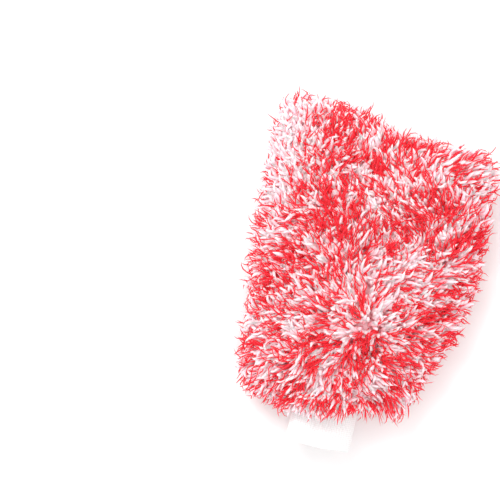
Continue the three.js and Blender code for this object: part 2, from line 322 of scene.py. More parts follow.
def neck_height(x, y, side, grow):
    """Height of the egg-shaped neck over the seam plane, `grow` outside the cuff, fading into the bag."""
    half, high = CUFF_HALF + grow, CUFF_HEIGHT[side] + grow
    arch = high * np.sqrt(np.clip(1 - (x / half) ** 2, 0, 1))
    return arch * (1 - smoothstep(y, HEEL_Y + NECK_FADE * 0.4, HEEL_Y + NECK_FADE))


LARGE_LUMPS, SMALL_LUMPS = 0.045, 0.020  # their sizes across the bag
RELIEF_FADE = 0.012  # a panel is plain at its seam and has its full relief this high over it
BACK_SHARE = 0.35  # the back is pressed flatter by the table
HOLLOW = (0.022, -0.056, 0.020)  # x, y, radius
PLEATS, PLEAT_HEIGHT = 13, 0.0016  # the gathers that fan out from the neck


def relief(sizes, points, side):
    """How far a soft bag stands in or out from its plain shape, along its height."""
    flat, x, y = points[..., :2], points[..., 0], points[..., 1]
    inside = smoothstep(np.abs(points[..., 2] - SEAM_Z), 0, RELIEF_FADE)
    lumps = sizes.lump * (waves(flat, LARGE_LUMPS, 3 + side) + 0.5 * waves(flat, SMALL_LUMPS, 8 + side))
    if side == BACK:
        return lumps * BACK_SHARE * inside
    hollow = hill(x, HOLLOW[0], HOLLOW[2]) * hill(y, HOLLOW[1], HOLLOW[2])
    turn = np.arctan2(x, y - HEEL_Y + 0.03)
    near_heel = 1 - smoothstep(y, HEEL_Y + 0.01, HEEL_Y + 0.07)
    pleats = PLEAT_HEIGHT * np.sin(turn * PLEATS + 1) * near_heel
    return (lumps - sizes.dimple * hollow + pleats) * inside


def drift(rows):
    """Shifts the plain outline to the uneven one of a mitt that was dropped on a table."""
    x, y = rows[..., 0].copy(), rows[..., 1].copy()
    heel = 1 - smoothstep(y, HEEL_Y, -0.01)
    fingers = smoothstep(y, 0.02, FINGER_Y)
    left_corner = hill(x, -0.086, 0.022) * hill(y, 0.128, 0.022)
    right_corner = hill(x, 0.095, 0.022) * hill(y, 0.108, 0.035)
    rows[..., 0] -= 0.006 * heel * smoothstep(np.abs(x), 0.031, 0.060)
    rows[..., 0] += 0.005 * smoothstep(x, 0.03, 0.08) * hill(y, -0.01, 0.06)
    rows[..., 0] -= 0.002 * left_corner + 0.005 * right_corner
    rows[..., 1] -= 0.055 * x * fingers + 0.011 * fingers**2 * hill(x, 0.020, 0.042)
    rows[..., 1] += 0.009 * heel**2 * hill(x, 0.042, 0.014) + 0.004 * left_corner
    return rows


def overhang(curves):
    """Lets the heel's pile hang out over the cuff at its left, and unevenly at its right."""
    x, y = curves[..., 0], curves[..., 1]
    edge = 1 - smoothstep(y, -0.118, -0.080)
    curves[..., 1] -= 0.007 * (1 - smoothstep(y, -0.105, -0.04)) * smoothstep(-x, -0.035, 0.040)
    curves[..., 1] += edge * (0.010 * hill(x, 0.034, 0.018) - 0.008 * hill(x, 0.068, 0.012))
    return curves


def soft_panel(sizes, side, offset, rise, neck_grow):
    """panel_rows with the neck's arch and the soft relief."""
    rows = panel_rows(sizes, side, offset, rise)
    height = (rows[..., 2] - SEAM_Z) * side + relief(sizes, rows, side)
    height = np.maximum(height, neck_height(rows[..., 0], rows[..., 1], side, neck_grow))
    rows[..., 2] = SEAM_Z + side * height
    return drift(rows)


def row_normals(rows, side):
    """Outward normals of a panel, which point sideways at its rim."""
    round_it = np.roll(rows, -1, axis=0) - np.roll(rows, 1, axis=0)
    inward = np.gradient(rows, axis=1)
    return unit(np.cross(round_it, inward)) * side


# ---- shader helpers


class Value:
    """A shader socket that can be used in sums and products."""

    def __init__(self, shader, socket):
        self.shader, self.socket = shader, socket

    def math(self, operation, first, second):
        return self.shader.node("ShaderNodeMath", {"operation": operation}, {0: first, 1: second})

    def __add__(self, other):
        return self.math("ADD", self, other)

    def __sub__(self, other):
        return self.math("SUBTRACT", self, other)

    def __rsub__(self, other):
        return self.math("SUBTRACT", other, self)

    def __mul__(self, other):
        return self.math("MULTIPLY", self, other)

    __radd__, __rmul__ = __add__, __mul__


class Shader:
    """A node material with one Principled surface, whose constants are named as its sockets are."""

    def __init__(self, name, **constants):
        self.material = bpy.data.materials.new(name)
        self.material.use_nodes = True
        self.tree = self.material.node_tree
        self.surface = self.tree.nodes["Principled BSDF"]
        for key, value in constants.items():
            socket = key.replace("_", " ").title().replace("Ior", "IOR")
            self.surface.inputs[socket].default_value = value

    def node(self, kind, settings=None, inputs=None, output=0):
        """A new node of this kind, as the Value of its output."""
        made = self.tree.nodes.new(kind)
        for key, value in (settings or {}).items():
            setattr(made, key, value)
        for key, value in (inputs or {}).items():
            self.feed(made.inputs[key], value)
        return Value(self, made.outputs[output])

    def feed(self, socket, value):
        """Links a Value to a socket, or sets the socket to a constant."""
        if isinstance(value, Value):
            self.tree.links.new(value.socket, socket)
        else:
            socket.default_value = value

    def place(self):
        """Where a point is on the piece, in metres."""
        return self.node("ShaderNodeTexCoord", output="Object")

    def noise(self, scale, detail=2.0, roughness=0.5):
        inputs = {"Vector": self.place(), "Scale": scale, "Detail": detail, "Roughness": roughness}
        return self.node("ShaderNodeTexNoise", {}, inputs)

    def stripes(self, direction, scale, distortion, detail=2.0, detail_scale=1.0):
        """Parallel waves across the piece."""
        inputs = {"Vector": self.place(), "Scale": scale, "Distortion": distortion}
        inputs |= {"Detail": detail, "Detail Scale": detail_scale}
        return self.node("ShaderNodeTexWave", {"bands_direction": direction}, inputs)

    def mix(self, factor, first, second):
        """Blend of two colours."""
        sockets = {0: factor, 6: first, 7: second}
        return self.node("ShaderNodeMix", {"data_type": "RGBA"}, sockets, output=2)

    def remap(self, value, low, high, to_low=0.0, to_high=1.0):
        """The value's range from low to high stretched to another one."""
        inputs = {"Value": value, "From Min": low, "From Max": high, "To Min": to_low, "To Max": to_high}
        return self.node("ShaderNodeMapRange", {}, inputs)

    def bump(self, height, distance, strength):
        inputs = {"Height": height, "Distance": distance, "Strength": strength}
        self.feed(self.surface.inputs["Normal"], self.node("ShaderNodeBump", {}, inputs))

    def colour(self, value):
        self.feed(self.surface.inputs["Base Color"], value)

    def roughness(self, value):
        self.feed(self.surface.inputs["Roughness"], value)


def rgba(colour, gain=1.0):
    """The colour with an alpha of 1, made darker by a gain below 1."""
    return (*[min(c * gain, 1.0) for c in colour], 1.0)


def yarn_material(name, colour, root, deep, pale, sheen, glow):
    """Microfibre yarn: its colour differs between ends, mottles along them and changes towards the root to
    the root colour, which for the white yarn is painted shade and red bounce light.
    """
    shader = Shader(
        name, roughness=0.88, sheen_weight=sheen, sheen_roughness=0.45, specular_ior_level=0.2,
        subsurface_weight=glow, subsurface_radius=(0.006, 0.0025, 0.003), subsurface_scale=1.0,
    )
    each = shader.node("ShaderNodeNewGeometry", output="Random Per Island")
    mottle = shader.noise(260.0, 2.0)
    tone = shader.mix(shader.remap(each * 0.7 + mottle * 0.5, 0.15, 0.95), rgba(deep), rgba(pale))
    body = shader.mix(0.5, rgba(colour), tone)
    along = shader.node("ShaderNodeAttribute", {"attribute_name": "along"}, output="Fac")
    # Towards the root the colour fades to the root colour: for the white yarn this is painted shade and red
    # bounce light deep in the pile
    shader.colour(shader.mix(shader.remap(along, 0.15, 0.80), rgba(root), body))
    shader.bump(shader.noise(1400.0, 2.0, 0.7), 0.0003, 0.5)
    return shader.material


RED_RANGE = ((0.70, 0.006, 0.014), (0.96, 0.05, 0.07))  # deepest and palest ends
WHITE_RANGE = ((0.98, 0.59, 0.65), (0.98, 0.85, 0.875))  # painted pink for the red light that the red yarn beside them bounces onto them


def yarn_materials(colours):
    red = yarn_material("red_yarn", colours.red, colours.red, *RED_RANGE, 0.15, 0.2)
    # The white yarn's colours are painted pink for red bounce light, darker and pinker towards the root for
    # painted shade
    white = yarn_material("white_yarn", colours.white, colours.white_root_red_bounce, *WHITE_RANGE, 0.2, 0.6)
    return {"red_yarn": red, "white_yarn": white}


def rib_knit(colours):
    """Elastic rib knit: columns of small V stitches with a fuzzy surface."""
    shader = Shader("rib_knit", roughness=0.9, sheen_weight=0.2, sheen_roughness=0.5)
    rows = shader.stripes("Y", 180.0, 1.5, 1.0, 30.0)
    fuzz = shader.noise(900.0, 3.0, 0.65)
    mottle = shader.noise(60.0, 2.0)
    pale, deep = rgba(colours.cuff), rgba(colours.cuff, 0.9)
    shader.colour(shader.mix(shader.remap(mottle * 0.6 + rows * 0.4, 0.2, 0.8), deep, pale))
    shader.roughness(shader.remap(fuzz, 0.3, 0.7, 0.82, 0.96))
    shader.bump(rows * 0.7 + fuzz * 0.5, 0.0003, 0.6)
    return shader.material


def woven_cloth(name, colour, pitch, roughness=0.75):
    """Plain weave: crossing threads of the given pitch."""
    shader = Shader(name, roughness=roughness, sheen_weight=0.1, sheen_roughness=0.5)
    scale = 1.0 / (pitch * 3.2)
    weave = shader.stripes("X", scale, 0.6, 1.0, 20.0) * shader.stripes("Y", scale, 0.6, 1.0, 20.0)
    slub = shader.noise(160.0, 3.0, 0.6)
    tone = shader.remap(weave * 0.5 + slub * 0.6, 0.1, 0.8)
    shader.colour(shader.mix(tone, rgba(colour, 0.88), rgba(colour)))
    shader.roughness(shader.remap(slub, 0.3, 0.7, roughness - 0.08, roughness + 0.1))
    shader.bump(weave + slub * 0.4, pitch * 0.4, 0.5)
    return shader.material


def thread_material(colours):
    """Spun sewing thread with a fine slanting twist."""
    shader = Shader("thread", roughness=0.6, sheen_weight=0.1)
    twist = shader.stripes("DIAGONAL", 500.0, 2.0)
    shader.colour(shader.mix(twist, rgba(colours.thread, 0.88), rgba(colours.thread)))
    shader.roughness(shader.remap(twist, 0.0, 1.0, 0.5, 0.7))
    shader.bump(twist, 0.0001, 0.4)
    return shader.material


# ---- pile

# Places on the front panel that are redder or whiter than the rest: x, y and radius in millimetres, and the
# change in the share of red
PATCHES = (
    (-52, 122, 18, 0.38), (-52, 70, 18, 0.32), (-34, 46, 17, 0.32),
    (-62, 10, 14, 0.28), (10, 106, 15, 0.25), (44, 78, 20, 0.38),
    (88, 62, 13, 0.35), (24, -58, 15, 0.90), (22, -50, 13, 1.20),
    (10, -54, 11, 0.60), (35, -56, 12, 0.60), (23, -36, 6, -0.60),
    (78, 6, 16, 0.10), (55, -26, 11, 0.20), (76, -64, 14, 0.40),
    (60, -90, 12, 0.25), (-32, -56, 15, 0.20), (-30, -76, 14, 0.25),
    (-86, 130, 18, -0.48), (-82, 86, 14, -0.35), (-74, 48, 14, -0.35),
    (-88, 16, 15, -0.45), (-68, -36, 13, -0.32), (-86, 106, 16, -0.25),
    (-50, 100, 10, -0.20), (10, 20, 22, -0.25), (38, 4, 13, -0.30),
    (-24, -20, 14, -0.15), (81, 38, 10, -0.15), (-26, -102, 14, -0.25),
    (12, -106, 14, -0.15), (46, -100, 12, -0.20), (-46, -20, 12, -0.20),
    (-78, 62, 12, -0.25), (88, 118, 18, -0.35),
)
USUAL_RED = 0.45


def red_share(points, side):
    """Share of red yarn ends at each point."""
    flat = points[:, :2]
    share = USUAL_RED + 0.06 * waves(flat, 0.013, 21 + side) + 0.10 * waves(flat, 0.007, 31 + side)
    if side == FRONT:
        x, y = flat.T * 1000
        for middle_x, middle_y, radius, change in PATCHES:
            share += change * hill(x, middle_x, radius) * hill(y, middle_y, radius)
    return share


def scatter(rows, normals, spacing, rng):
    """Points spread over a panel, one for each square of the spacing, with the normals there."""
    quads = grid_faces(*rows.shape[:2], wrap_rows=True)
    triangles = quads[:, [[0, 1, 2], [0, 2, 3]]].reshape(-1, 3)
    flat, flat_normals = rows.reshape(-1, 3), normals.reshape(-1, 3)
    a, b, c = (flat[triangles[:, k]] for k in range(3))
    area = np.linalg.norm(np.cross(b - a, c - a), axis=1) / 2
    total = area.sum()
    count = int(total / spacing**2)
    marks = (np.arange(count) + rng.random(count)) * total / count  # one in each even share of the area
    chosen = np.minimum(np.searchsorted(np.cumsum(area), marks), len(area) - 1)
    u, v = rng.random((2, count))
    over = u + v > 1
    u[over], v[over] = 1 - u[over], 1 - v[over]
    weights = np.stack([1 - u - v, u, v], axis=1)[..., None]
    picked = triangles[chosen]
    return (flat[picked] * weights).sum(1), unit((flat_normals[picked] * weights).sum(1))


BACK_PARTING = (0.0, -0.03)


def comb(roots, normals, side, pile, rng):
    """The direction in which each tuft is laid over, along the surface."""
    away = np.zeros_like(roots)
    away[:, :2] = roots[:, :2] - np.array(pile.parting if side == FRONT else BACK_PARTING)
    away = unit(away)
    turn = 0.55 * waves(roots[:, :2], 0.050, 41 + side) + 0.35 * waves(roots[:, :2], 0.015, 51 + side)
    near = 1 - smoothstep(np.linalg.norm(roots[:, :2] - np.array(pile.parting), axis=1), 0.002, 0.014)
    turn += rng.normal(0, 1, len(roots)) * (0.36 + 1.5 * near)
    cos, sin = np.cos(turn), np.sin(turn)
    x, y, z = away.T
    lay = np.stack([x * cos - y * sin, x * sin + y * cos, z], axis=1)
    steep = 1 - np.abs(normals[:, 2])
    lay[:, 2] -= 0.8 * steep  # at the sides the pile hangs
    lay += rng.normal(0, 0.25, lay.shape) * steep[:, None]
    return unit(square_to(normals, lay))


# rise and lie: degrees from the cloth's normal at an end's root and tip; clump and spread: how far apart a
# tuft's ends stand and point; bend: the range of how late they bend over
STYLES = {
    "red": {
        "rise": 18, "lie": 85, "wave": 0.0027, "sides": 5, "lobes": 0.0, "steps": 9,
        "clump": 0.0009, "spread": 0.20, "bend": (0.55, 1.1), "slot": "red_yarn",
    },
    "white": {
        "rise": 26, "lie": 95, "wave": 0.0022, "sides": 6, "lobes": 0.20, "steps": 9,
        "clump": 0.0014, "spread": 0.26, "bend": (0.55, 1.1), "slot": "white_yarn",
    },
    "fluff": {
        "rise": 8, "lie": 50, "wave": 0.0010, "sides": 6, "lobes": 0.25, "steps": 5,
        "clump": 0.0016, "spread": 0.45, "bend": (0.8, 1.2), "slot": "white_yarn",
    },
}
THIRDS = (("heel", -1.0, -0.020), ("palm", -0.020, 0.065), ("fingers", 0.065, 1.0))
ZONES = {"red": THIRDS, "white": THIRDS, "fluff": (("short", -1.0, 1.0),)}


def stand_up(points, side, pile):
    """Share by which yarn ends lie down: less just below the parting, where they stand."""
    if side == BACK:
        return np.ones(len(points))
    away = np.linalg.norm(points[:, :2] - np.array(pile.parting) + [0, 0.006], axis=1)
    return 0.40 + 0.60 * smoothstep(away, 0.0, 0.022)


def over_cloth(curves, rows, side, clearance):
    """Lifts the yarn that would dive under the panel's cloth out on top of it."""
    faces = grid_faces(*rows.shape[:2], wrap_rows=True)
    cloth = BVHTree.FromPolygons(rows.reshape(-1, 3).tolist(), faces.tolist())
    nearest = [cloth.find_nearest(point)[:2] for point in curves.reshape(-1, 3).tolist()]
    place = np.array([hit[0] for hit in nearest]).reshape(curves.shape)
    facing = np.array([hit[1] for hit in nearest]).reshape(curves.shape) * side
    height = ((curves - place) * facing).sum(axis=2)
    s = np.linspace(0, 1, curves.shape[1])
    lifted = soft_limit(height, clearance * s, clearance * s)
    return curves + facing * (lifted - height)[..., None]


WIDEST_WAVE = 0.0045  # keeps curly yarn within the mitt's outline


def yarn_ends(roots, normals, lay, length, lying, curl, style, rng):
    """Curves of yarn ends, as an array of end, step and place.

    Each leaves the cloth near its normal and bends over to lie along `lay`, with a wave across it.
    """
    count = len(roots)
    s = np.linspace(0, 1, style["steps"])[None, :]
    start = np.radians(rng.normal(style["rise"], 8, count) * lying)[:, None]
    end = np.radians(rng.normal(style["lie"], 16, count) * lying)[:, None]
    lean = start + (end - start) * s ** rng.uniform(*style["bend"], count)[:, None]
    middle = (lean[:, 1:] + lean[:, :-1]) / 2
    step = (length / (style["steps"] - 1))[:, None]
    none = np.zeros((count, 1))
    up = np.concatenate([none, np.cumsum(np.cos(middle) * step, axis=1)], axis=1)
    out = np.concatenate([none, np.cumsum(np.sin(middle) * step, axis=1)], axis=1)
    across = np.cross(normals, lay)
    beat, phase = rng.uniform(0.5, 1.3, count)[:, None], rng.uniform(0, TAU, count)[:, None]
    size = np.abs(rng.normal(style["wave"], style["wave"] * 0.6, count)) * curl
    size = np.minimum(size, WIDEST_WAVE)[:, None]
    wave = size * (np.sin(TAU * beat * s + phase) - np.sin(phase)) * s**0.8
    lift = 0.5 * size * np.sin(TAU * beat * 1.3 * s + phase * 2) * s
    curves = roots[:, None] + normals[:, None] * (up + lift)[..., None]
    return curves + lay[:, None] * out[..., None] + across[:, None] * wave[..., None]


def clear_of_cuff(curves, margin):
    """Moves points that would run through the cuff out to its surface."""
    x, height = curves[..., 0], curves[..., 2] - SEAM_Z
    high = np.where(height >= 0, CUFF_HEIGHT[FRONT], CUFF_HEIGHT[BACK]) + margin
    ring = np.sqrt((x / (CUFF_HALF + margin)) ** 2 + (height / high) ** 2)
    near = (ring < 1) & (curves[..., 1] < HEEL_Y + NECK_OVERLAP)
    scale = np.where(near, 1 / np.maximum(ring, 0.25), 1.0)
    curves[..., 0] = x * scale
    curves[..., 2] = SEAM_Z + height * scale
    return curves


def press(curves, floor, top):
    """Lays yarn that would sink into the table flat on it, and presses yarn that stands too high back."""
    z = soft_limit(curves[..., 2], floor, 0.003)
    curves[..., 2] = -soft_limit(-z, -top, 0.004)
    return curves


TWIST = 1.9  # turn of the lobes at each step, in radians


def yarn_faces(count, steps, sides):
    """Faces of tubes whose rings end in a single point at the tip."""
    each = (steps - 1) * sides + 1
    quads = grid_faces(steps - 1, sides, wrap_columns=True)
    last = (steps - 2) * sides
    tip = np.array([[last + k, last + (k + 1) % sides, each - 1] for k in range(sides)])
    root = np.arange(sides)[None, ::-1]
    shift = (np.arange(count) * each)[:, None, None]
    return [(f[None] + shift).reshape(-1, f.shape[1]) for f in (quads[:, ::-1], tip, root)]


def yarn_mesh(name, curves, radii, style, material):
    """Closed tapered tubes along the curves, with the lobes of a twisted yarn."""
    count, steps = curves.shape[:2]
    sides = style["sides"]
    along = unit(np.gradient(curves, axis=1))
    across = unit(np.cross(curves[:, -1] - curves[:, 0], curves[:, steps // 2] - curves[:, 0]) + 1e-7)
    first = unit(np.cross(along, across[:, None]))
    second = np.cross(along, first)
    angles = np.arange(sides) / sides * TAU
    ring = first[:, :, None] * np.cos(angles)[:, None] + second[:, :, None] * np.sin(angles)[:, None]
    turn = np.arange(steps - 1)[:, None] * TWIST
    lobes = 1 + style["lobes"] * np.cos(2 * angles + turn)
    tubes = curves[:, :-1, None] + ring[:, :-1] * (radii[:, :-1, None] * lobes)[..., None]
    vertices = np.concatenate([tubes.reshape(count, -1, 3), curves[:, -1:]], axis=1)
    piece = mesh_object(name, vertices, yarn_faces(count, steps, sides), material)
    share = np.append(np.repeat(np.arange(steps - 1), sides), steps - 1) / (steps - 1)
    along = piece.data.attributes.new("along", "FLOAT", "POINT")
    along.data.foreach_set("value", np.tile(share, count).astype(np.float32))
    return piece


def taper(radius, count, steps, rng):
    """Radius along each yarn end: full, then thin at the very tip."""
    s = np.linspace(0, 1, steps)[None, :]
    uneven = 1 + 0.10 * np.sin(TAU * (2 * s + rng.random((count, 1))))
    return radius * rng.uniform(0.82, 1.15, count)[:, None] * uneven * (1 - 0.62 * s**5)


def edge_roots(sizes, side, rng, count=80):
    """Roots on the neck's fabric round the cuff and, for the front panel, all along the seam."""
    angles = rng.uniform(0.05, math.pi - 0.05, count) * side
    y = rng.uniform(NECK_END_Y + 0.0045, HEEL_Y + 0.003, count)
    roots = np.insert(egg(angles, NECK_GROW), 1, y, axis=1)
    up = (roots[:, 2] - SEAM_Z) / CUFF_HEIGHT[side] ** 2
    normals = np.stack([roots[:, 0] / CUFF_HALF**2, np.zeros(count), up], axis=1)
    if side == FRONT:
        path, outward = seam_path(sizes, 0.0)
        path[:, 2] += rng.normal(0, 0.0012, len(path))
        roots, normals = np.concatenate([roots, path]), np.concatenate([unit(normals), outward])
    return roots, unit(normals)


def bunch_sizes(is_red, colour, rng):
    """How many ends of a colour each tuft has: white ends everywhere, red ones in bunches and strays."""
    count = len(is_red)
    if colour == "fluff":
        return np.where(is_red, 1, 2)
    if colour == "white":
        return np.where(is_red, rng.integers(0, 2, count), rng.integers(4, 7, count))
    strays = (rng.random(count) < 0.6) * rng.integers(1, 3, count)
    return np.where(is_red, rng.integers(3, 9, count), strays)


CUFF_GAP = 0.0015  # between a yarn's middle line and the cuff
PILE_PROUD = 0.009  # the highest tips, over the plain layer that the yarns replace


def tuft_ends(rows, roots, normals, lay, bunches, side, colour, pile, rng):
    """Curves and radii of all the yarn ends of one colour."""
    style = STYLES[colour]
    pick = np.repeat(np.arange(len(roots)), bunches)
    near = rng.normal(0, style["clump"], (len(pick), 3))
    normal = unit(normals[pick] + rng.normal(0, 0.10, (len(pick), 3)))
    base = roots[pick] + square_to(normals[pick], near)
    heading = unit(lay[pick] + rng.normal(0, style["spread"], (len(pick), 3)))
    heading = unit(square_to(normal, heading))
    lying = stand_up(base, side, pile)
    length = getattr(pile, colour + "_length") * rng.normal(1, 0.14, len(pick)).clip(0.6, 1.35)
    length = length * (0.35 + 0.65 * lying)
    radius = getattr(pile, colour + "_radius")
    steep, left = 1 - np.abs(normal[:, 2]), -base[:, 0]
    curl = 1 + 1.4 * smoothstep(steep, 0.1, 0.8) + 0.7 * smoothstep(left, 0.02, 0.07)
    curves = yarn_ends(base, normal, heading, length, lying, curl, style, rng)
    curves = over_cloth(curves, rows, side, radius)
    curves = overhang(clear_of_cuff(curves, CUFF_GAP))
    curves = press(curves, radius * 1.1, PILE_HIGH[2] + PILE_PROUD)
    return curves, taper(radius, len(pick), style["steps"], rng)


def panel_roots(rows, side, sizes, pile, rng):
    """Roots of all the tufts of a panel, clear of the cuff, and the cloth's normals there."""
    roots, normals = scatter(rows, row_normals(rows, side), pile.tuft_spacing, rng)
    high = CUFF_HEIGHT[side] + 0.002
    ring = (roots[:, 0] / (CUFF_HALF + 0.004)) ** 2 + ((roots[:, 2] - SEAM_Z) / high) ** 2
    keep = (ring > 1) | (roots[:, 1] > HEEL_Y + 0.02)
    more, more_normals = edge_roots(sizes, side, rng)
    return np.concatenate([roots[keep], more]), np.concatenate([normals[keep], more_normals])


def grow_panel(side, sizes, pile, materials, rng):
    """All the yarn ends of one panel, as separate pieces for each colour and zone."""
    rows = soft_panel(sizes, side, 0.0, GROUND_RISE[side], PILE_GROW)
    roots, normals = panel_roots(rows, side, sizes, pile, rng)
    lay = comb(roots, normals, side, pile, rng)
    reach = 0.013 * (stand_up(roots, side, pile) - 0.2)  # most of a tuft shows this far from its root
    seen = roots + lay * reach[:, None]
    is_red = rng.random(len(roots)) < np.clip(red_share(seen, side), 0.06, 0.96)
    pieces = []
    for colour in STYLES:
        bunches = bunch_sizes(is_red, colour, rng)
        curves, radii = tuft_ends(rows, roots, normals, lay, bunches, side, colour, pile, rng)
        slot = STYLES[colour]["slot"]
        for zone, low, high in ZONES[colour]:
            here = (curves[:, 0, 1] >= low) & (curves[:, 0, 1] < high)
            name = f"{SIDE_NAMES[side]}_{colour}_{zone}"
            piece = yarn_mesh(name, curves[here], radii[here], STYLES[colour], materials[slot])
            hand_over(piece, slot, f"{SIDE_NAMES[side]}_{slot.split('_')[0]}_pile")
            pieces.append(piece)
    return pieces


# ---- cloth, cuff and thread


WELD = 0.00002


def weld(piece):
    """Joins coincident vertices."""
    made = bmesh.new()
    made.from_mesh(piece.data)
    bmesh.ops.remove_doubles(made, verts=made.verts, dist=WELD)
    made.to_mesh(piece.data)
    made.free()


def egg(angles, grow):
    """Points of the neck's egg-shaped section, `grow` outside the cuff, as x and z."""
    high = np.where(np.sin(angles) >= 0, CUFF_HEIGHT[FRONT], CUFF_HEIGHT[BACK])
    x, height = (CUFF_HALF + grow) * np.cos(angles), (high + grow) * np.sin(angles)
    return np.stack([x, SEAM_Z + height], axis=-1)


def distances(points):
    """How far along a path each of its points is."""
    return np.concatenate([[0], np.cumsum(np.linalg.norm(np.diff(points, axis=0), axis=1))])


def even_angles(count):
    """Angles that space points evenly round the cuff, and the share of the way round of each."""
    fine = np.linspace(0, TAU, 2001)
    way = distances(egg(fine, 0.0))
    share = np.arange(count) / count
    return np.interp(share * way[-1], way, fine), share


def band(profile, angles):
    """Grid of points for a profile of (y, grow) swept round the neck: one row for each angle."""
    rows = [np.insert(egg(angles, grow), 1, y, axis=1) for y, grow in profile]
    return np.stack(rows, axis=1)


def cloth_panel(name, sizes, side, offset, rise, thick, neck_grow, material):
    """One side of a bag as a cloth with thickness, with its half of the neck."""
    outer = soft_panel(sizes, side, offset, rise, neck_grow)
    inner = soft_panel(sizes, side, offset - thick, rise - thick, neck_grow - thick)
    grid = np.concatenate([outer[:, ::-1], inner], axis=1)
    rows, columns = grid.shape[:2]
    angles = np.linspace(0, math.pi, 49) * side
    start, end = NECK_END_Y, HEEL_Y + NECK_OVERLAP
    inside, taper_y = neck_grow - thick, start + 0.005
    closing = min(inside, 0.0002)  # the ground's edge is drawn in on the cuff
    profile = [
        (end, neck_grow), (taper_y, neck_grow), (start, closing + thick), (start, closing),
        (taper_y, inside), (end, inside),
    ]
    neck = band(profile, angles)
    bag_faces = grid_faces(rows, columns, wrap_rows=True, flip=side == BACK)
    neck_faces = grid_faces(*neck.shape[:2], wrap_columns=True, start=rows * columns, flip=side == FRONT)
    vertices = np.concatenate([grid.reshape(-1, 3), neck.reshape(-1, 3)])
    piece = mesh_object(name, vertices, [bag_faces, neck_faces], material)
    weld(piece)
    return piece


def cuff_profile():
    """Section through the doubled rib: out along the outside, round the fold, back inside it."""
    radius = RIB_THICK * 1.5  # the gap between the layers is as wide as one of them
    centre = MOUTH_Y + radius
    turn = np.linspace(0, math.pi, 10)
    straight = np.linspace(CUFF_TOP_Y, centre, 16)[:-1]
    profile = []
    for reach in (radius, RIB_THICK - radius):  # the surface, then the one between the layers
        profile += [(y, reach - radius) for y in straight]
        profile += [(centre - abs(reach) * math.sin(a), reach * math.cos(a) - radius) for a in turn]
        profile += [(y, -reach - radius) for y in straight[::-1]]
    return profile


RIB_POINTS = 8  # round the cuff, for each rib
MOUTH_SAG = 0.0012  # how far the free mouth strays from an even ring


def rib_tube(sizes, material):
    """The cuff: a tube of rib knit folded back on itself at the mouth."""
    angles, share = even_angles(sizes.ribs * RIB_POINTS)
    grid = band(cuff_profile(), angles)
    wave = np.cos(share * sizes.ribs * TAU)
    ribs = sizes.rib_height * np.sign(wave) * np.abs(wave) ** 0.8
    out = unit((grid - [0, 0, SEAM_Z]) * [1, 0, 2])  # the neck is wider than it is high
    free = smoothstep(-grid[..., 1], -CUFF_TOP_Y, -MOUTH_Y)
    sag = MOUTH_SAG * free * (np.sin(2 * angles + 0.6) + 0.5 * np.sin(5 * angles + 2))[:, None]
    grid = grid + out * (ribs[:, None] - sizes.rib_height + sag)[..., None]
    grid[..., 1] += MOUTH_SAG * free * (np.sin(angles + 1) + 0.6 * np.sin(3 * angles))[:, None]
    rows, columns = grid.shape[:2]
    faces = grid_faces(rows, columns, wrap_rows=True, wrap_columns=True, flip=True)
    return mesh_object("rib_cuff_knit", grid, [faces], material)


THREAD_RADIUS = 0.0003


def path_directions(points, closed):
    """Direction of a path at each of its points."""
    if closed:
        return unit(np.roll(points, -1, axis=0) - np.roll(points, 1, axis=0))
    return unit(np.gradient(points, axis=0))


def thread_tube(name, points, outward, closed, material, sides=6):
    """Thread along points, with `outward` roughly square to it."""
    along = path_directions(points, closed)
    first = unit(square_to(along, outward))
    second = np.cross(along, first)
    angles = np.arange(sides)[:, None] / sides * TAU
    ring = first[:, None] * np.cos(angles) + second[:, None] * np.sin(angles)
    rings = points[:, None] + THREAD_RADIUS * ring
    faces = [grid_faces(len(points), sides, wrap_rows=closed, wrap_columns=True, flip=True)]
    if not closed:
        caps = np.stack([np.arange(sides)[::-1], np.arange(sides) + (len(points) - 1) * sides])
        faces.append(caps[:, ::-1])
    return mesh_object(name, rings, faces, material)


STITCH_PITCH = 0.0022
STITCH_POINTS = 12  # along the thread, for each stitch


def overlock(name, path, outward, reach, height, closed, material):
    """Loops of thread wrapped round a cut edge that follows a path.

    outward is away from the cloth, reach how far the loops go in over it, height their half-thickness.
    """
    if closed:
        path, outward = np.concatenate([path, path[:1]]), np.concatenate([outward, outward[:1]])
    way = distances(path)
    turns = round(way[-1] / STITCH_PITCH)
    marks = np.linspace(0, way[-1], turns * STITCH_POINTS, endpoint=not closed)
    around = marks / way[-1] * turns * TAU
    both = np.concatenate([path, outward], axis=1).T
    at, out = np.split(np.stack([np.interp(marks, way, values) for values in both], axis=1), 2, axis=1)
    out = unit(out)
    along = path_directions(at, closed)
    up = np.cross(out, along)
    radial = out * (np.cos(around) * reach)[:, None] + up * (np.sin(around) * height)[:, None]
    slant = along * (np.sin(around * 2) * STITCH_PITCH * 0.3)[:, None]
    return thread_tube(name, at + radial + slant, unit(radial), closed, material)


def seam_path(sizes, offset):
    """The seam line moved out by `offset`, from one side of the neck round the bag to the other."""
    points, normals = seam_line(sizes)
    beside = (np.abs(points[:, 0]) > CUFF_HALF + SEAM_STOP) | (points[:, 1] > 0)
    points, normals = points[beside], normals[beside]
    flat = points + normals * offset
    path = drift(np.insert(flat, 2, SEAM_Z, axis=1))
    return path, np.insert(normals, 2, 0, axis=1)


BAG_STITCH = (0.0018, 0.0015)  # reach and half-thickness of a stitch
JOIN_STITCH = (0.0014, 0.0025)
SIDE_STITCHES = 20


def sew_bags(sizes, thread):
    """The overlock seams of the shell and of the lining."""
    for name, half_width in (("shell_seam", SEAM_HIGH[0]), ("lining_seam", LINING_SEAM_HIGH[0])):
        path, outward = seam_path(sizes, half_width - BAG_HALF - STITCH_REACH)
        piece = overlock(name, path, outward, *BAG_STITCH, False, thread)
        hand_over(piece, "thread", f"{name}_overlock")


